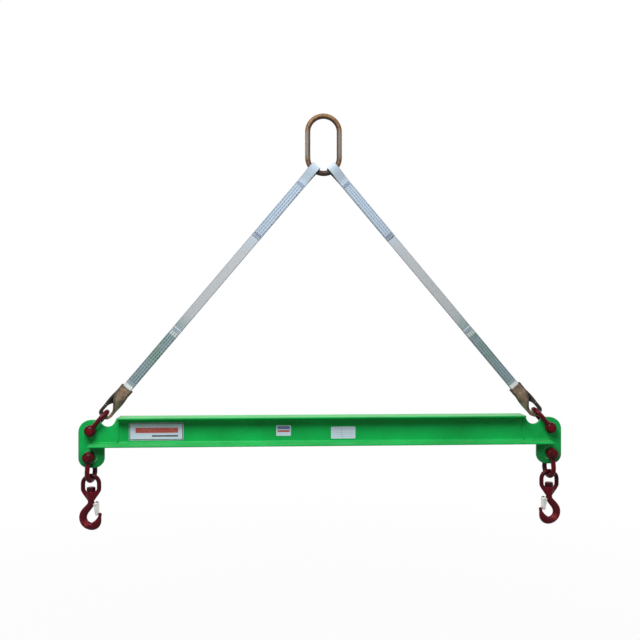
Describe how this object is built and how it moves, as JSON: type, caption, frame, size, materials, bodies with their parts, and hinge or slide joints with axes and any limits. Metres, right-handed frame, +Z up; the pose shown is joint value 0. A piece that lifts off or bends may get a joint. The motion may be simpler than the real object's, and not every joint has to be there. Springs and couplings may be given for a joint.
{
  "type": "spreader beam",
  "caption": "Green steel spreader beam hung from a web sling bridle and oblong link by bow shackles, with a latched swivel hook shackled under each end plate.",
  "frame": {"origin": "top of the inside of the master link, where a crane hook bears", "axes": "+X along the beam to its right end, +Y away from the side with the label plates, +Z up"},
  "size_m": [1.2832, 0.0773, 1.099],
  "materials": {
    "green_paint": "semi-gloss green enamel",
    "red_paint": "semi-gloss dark red enamel on forged steel",
    "bolt_paint": "glossy red enamel",
    "bronze_steel": "dark bronze heat-treated alloy steel",
    "zinc_steel": "zinc plated",
    "grey_webbing": "woven pale grey webbing with blue stitching",
    "brown_sleeve": "brown wear cloth",
    "label_white": "bare white label plate"
  },
  "bodies": {
    "link": {"master_link": "bronze_steel"},
    "bridle": {"sling_left": "grey_webbing", "sling_right": "grey_webbing", "eye_sleeve_left": "brown_sleeve", "eye_sleeve_right": "brown_sleeve"},
    "beam": {"i_beam": "green_paint", "end_plate_left": "green_paint", "end_plate_right": "green_paint", "label_plate_large": "label_white", "label_plate_small": "label_white", "label_plate_middle": "label_white"},
    "upper_shackle_left": {"upper_shackle_left_bow": "red_paint", "upper_shackle_left_bolt": "bolt_paint", "upper_shackle_left_nut": "bolt_paint", "upper_shackle_left_cotter": "zinc_steel"},
    "upper_shackle_right": {"upper_shackle_right_bow": "red_paint", "upper_shackle_right_bolt": "bolt_paint", "upper_shackle_right_nut": "bolt_paint", "upper_shackle_right_cotter": "zinc_steel"},
    "lower_shackle_left": {"lower_shackle_left_bow": "red_paint", "lower_shackle_left_bolt": "bolt_paint", "lower_shackle_left_nut": "bolt_paint", "lower_shackle_left_cotter": "zinc_steel"},
    "lower_shackle_right": {"lower_shackle_right_bow": "red_paint", "lower_shackle_right_bolt": "bolt_paint", "lower_shackle_right_nut": "bolt_paint", "lower_shackle_right_cotter": "zinc_steel"},
    "bail_left": {"swivel_bail_left": "red_paint"},
    "bail_right": {"swivel_bail_right": "red_paint"},
    "hook_left": {"hook_left": "red_paint", "shank_nut_left": "red_paint"},
    "hook_right": {"hook_right": "red_paint", "shank_nut_right": "red_paint"},
    "latch_left": {"latch_left": "zinc_steel", "latch_pin_left": "zinc_steel", "latch_spring_left": "zinc_steel"},
    "latch_right": {"latch_right": "zinc_steel", "latch_pin_right": "zinc_steel", "latch_spring_right": "zinc_steel"}
  },
  "joints": [
    {"name": "link_tip", "type": "hinge", "parent": "link", "child": "bridle", "pos_m": [0, 0, -0.1352], "axis": [1, 0, 0], "range_deg": [-20, 20]},
    {"name": "beam_rock", "type": "hinge", "parent": "bridle", "child": "beam", "pos_m": [0, 0, -0.79336], "axis": [1, 0, 0], "range_deg": [-12, 12]},
    {"name": "upper_shackle_turn_left", "type": "hinge", "parent": "beam", "child": "upper_shackle_left", "pos_m": [-0.60847, 0, -0.82323], "axis": [0, 1, 0], "range_deg": [-1.5, 1.5]},
    {"name": "upper_shackle_turn_right", "type": "hinge", "parent": "beam", "child": "upper_shackle_right", "pos_m": [0.60847, 0, -0.82323], "axis": [0, 1, 0], "range_deg": [-1.5, 1.5]},
    {"name": "lower_shackle_swing_left", "type": "hinge", "parent": "beam", "child": "lower_shackle_left", "pos_m": [-0.6096, 0, -0.89288], "axis": [0.2158, 0.9764, 0], "range_deg": [-40, 40]},
    {"name": "lower_shackle_swing_right", "type": "hinge", "parent": "beam", "child": "lower_shackle_right", "pos_m": [0.6096, 0, -0.89288], "axis": [-0.2158, 0.9764, 0], "range_deg": [-40, 40]},
    {"name": "bail_rock_left", "type": "hinge", "parent": "lower_shackle_left", "child": "bail_left", "pos_m": [-0.6096, 0, -0.94258], "axis": [1, 0, 0], "range_deg": [-40, 40]},
    {"name": "bail_rock_right", "type": "hinge", "parent": "lower_shackle_right", "child": "bail_right", "pos_m": [0.6096, 0, -0.94258], "axis": [1, 0, 0], "range_deg": [-40, 40]},
    {"name": "hook_swivel_left", "type": "hinge", "parent": "bail_left", "child": "hook_left", "pos_m": [-0.6096, 0, -1.00883], "axis": [0, 0, 1], "continuous": true},
    {"name": "hook_swivel_right", "type": "hinge", "parent": "bail_right", "child": "hook_right", "pos_m": [0.6096, 0, -1.00883], "axis": [0, 0, 1], "continuous": true},
    {"name": "latch_open_left", "type": "hinge", "parent": "hook_left", "child": "latch_left", "pos_m": [-0.5961, 0, -1.01733], "axis": [0, 1, 0], "range_deg": [0, 30], "stiffness_Nm_per_rad": 0.02, "springref_deg": -28.65},
    {"name": "latch_open_right", "type": "hinge", "parent": "hook_right", "child": "latch_right", "pos_m": [0.5961, 0, -1.01733], "axis": [0, -1, 0], "range_deg": [0, 30], "stiffness_Nm_per_rad": 0.02, "springref_deg": -28.65}
  ]
}
